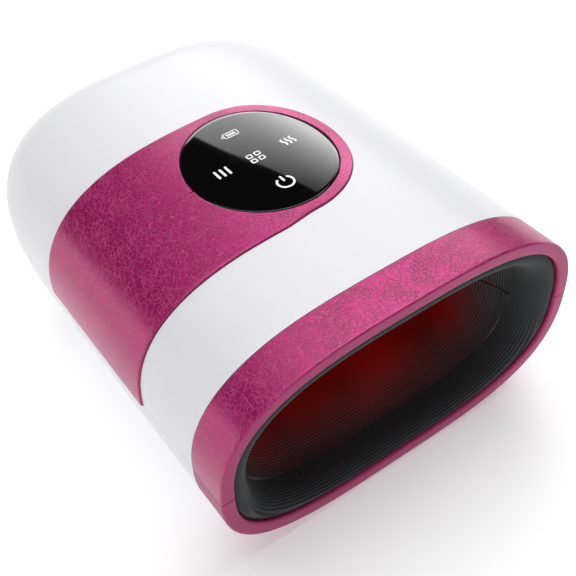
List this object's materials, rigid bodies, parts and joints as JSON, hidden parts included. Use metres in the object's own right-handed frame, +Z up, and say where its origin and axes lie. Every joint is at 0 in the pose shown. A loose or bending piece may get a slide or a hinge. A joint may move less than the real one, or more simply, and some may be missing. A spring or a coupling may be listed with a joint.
{
  "type": "hand massager",
  "caption": "Cordless hand massager: rounded white housing with a magenta rimmed mouth and side band, an oval black touch panel, and a fabric pocket squeezed by air bags from above and below.",
  "frame": {"origin": "on the surface that it stands on, under the middle of the bounding box", "axes": "+Z up, +Y from the mouth to the charging inlet at the back, +X to the right seen from the mouth, so the band runs down the -X side"},
  "size_m": [0.1706, 0.225, 0.1038],
  "materials": {
    "white_shell": "glossy white moulded plastic",
    "pink_trim": "satin metallic magenta, finely wrinkled",
    "pink_smooth": "smooth satin magenta",
    "black_glass": "polished black, printed from behind",
    "grey_fabric": "fine ribbed knit",
    "black_rubber": "matt",
    "frame_plastic": "moulded grey",
    "air_bag_vinyl": "welded film, satin",
    "foam_pad": "soft foam",
    "heat_film": "amber film",
    "green_board": "lacquered board",
    "ribbon_film": "flat ribbon film",
    "steel": "bright zinc plated",
    "brass": "plain",
    "cell_wrap": "blue shrink film",
    "clear_hose": "milky silicone",
    "pump_plastic": "moulded black"
  },
  "bodies": {
    "housing": {"upper_shell": "white_shell", "lower_shell": "white_shell", "accent_band": "pink_trim", "touch_panel_glass": "black_glass", "front_bezel_upper": "pink_trim", "front_bezel_lower": "pink_smooth", "rubber_foot_1": "black_rubber", "rubber_foot_2": "black_rubber", "rubber_foot_3": "black_rubber", "rubber_foot_4": "black_rubber", "casing_screw_1": "steel", "casing_screw_2": "steel", "casing_screw_3": "steel", "casing_screw_4": "steel", "pocket_mouth_roll": "grey_fabric", "pocket_vault_fabric": "grey_fabric", "pocket_floor_fabric": "grey_fabric", "upper_frame": "frame_plastic", "lower_frame": "frame_plastic", "upper_air_bag": "air_bag_vinyl", "palm_air_bag": "air_bag_vinyl", "touch_board": "green_board", "touch_ribbon": "ribbon_film", "main_board": "green_board", "buzzer": "pump_plastic", "charge_board": "green_board", "charge_socket": "steel", "pump_motor": "steel", "pump_motor_sleeve": "black_rubber", "pump_crank_case": "pump_plastic", "pump_diaphragm": "black_rubber", "pump_cover": "pump_plastic", "pump_hose": "clear_hose", "air_manifold": "pump_plastic", "upper_bag_hose": "clear_hose", "palm_bag_hose": "clear_hose", "upper_valve_body": "brass", "palm_valve_body": "brass", "upper_valve_spring": "steel", "palm_valve_spring": "steel", "battery_holder": "pump_plastic", "battery_cell_1": "cell_wrap", "battery_cell_2": "cell_wrap"},
    "upper_press": {"heating_film": "heat_film", "upper_press_pad": "foam_pad", "thermal_fuse": "steel"},
    "palm_press": {"palm_plate": "frame_plastic"},
    "pump_rotor": {"pump_rotor": "steel"},
    "upper_plunger": {"upper_valve_plunger": "steel"},
    "palm_plunger": {"palm_valve_plunger": "steel"}
  },
  "joints": [
    {"name": "upper_press_travel", "type": "slide", "parent": "housing", "child": "upper_press", "axis": [0, 0, -1], "range_m": [0, 0.012], "stiffness_N_per_m": 60, "deforming": ["upper_air_bag", "pocket_vault_fabric"]},
    {"name": "palm_press_travel", "type": "slide", "parent": "housing", "child": "palm_press", "axis": [0, 0, 1], "range_m": [0, 0.01], "stiffness_N_per_m": 60, "deforming": ["palm_air_bag", "pocket_floor_fabric"]},
    {"name": "pump_spin", "type": "hinge", "parent": "housing", "child": "pump_rotor", "pos_m": [-0.0337, 0.07562, 0.0287], "axis": [1, 0, 0], "continuous": true},
    {"name": "upper_valve_stroke", "type": "slide", "parent": "housing", "child": "upper_plunger", "axis": [0, 0, -1], "range_m": [0, 0.002], "stiffness_N_per_m": 300, "springref_m": -0.001, "deforming": ["upper_valve_spring"]},
    {"name": "palm_valve_stroke", "type": "slide", "parent": "housing", "child": "palm_plunger", "axis": [0, 0, -1], "range_m": [0, 0.002], "stiffness_N_per_m": 300, "springref_m": -0.001, "deforming": ["palm_valve_spring"]}
  ]
}
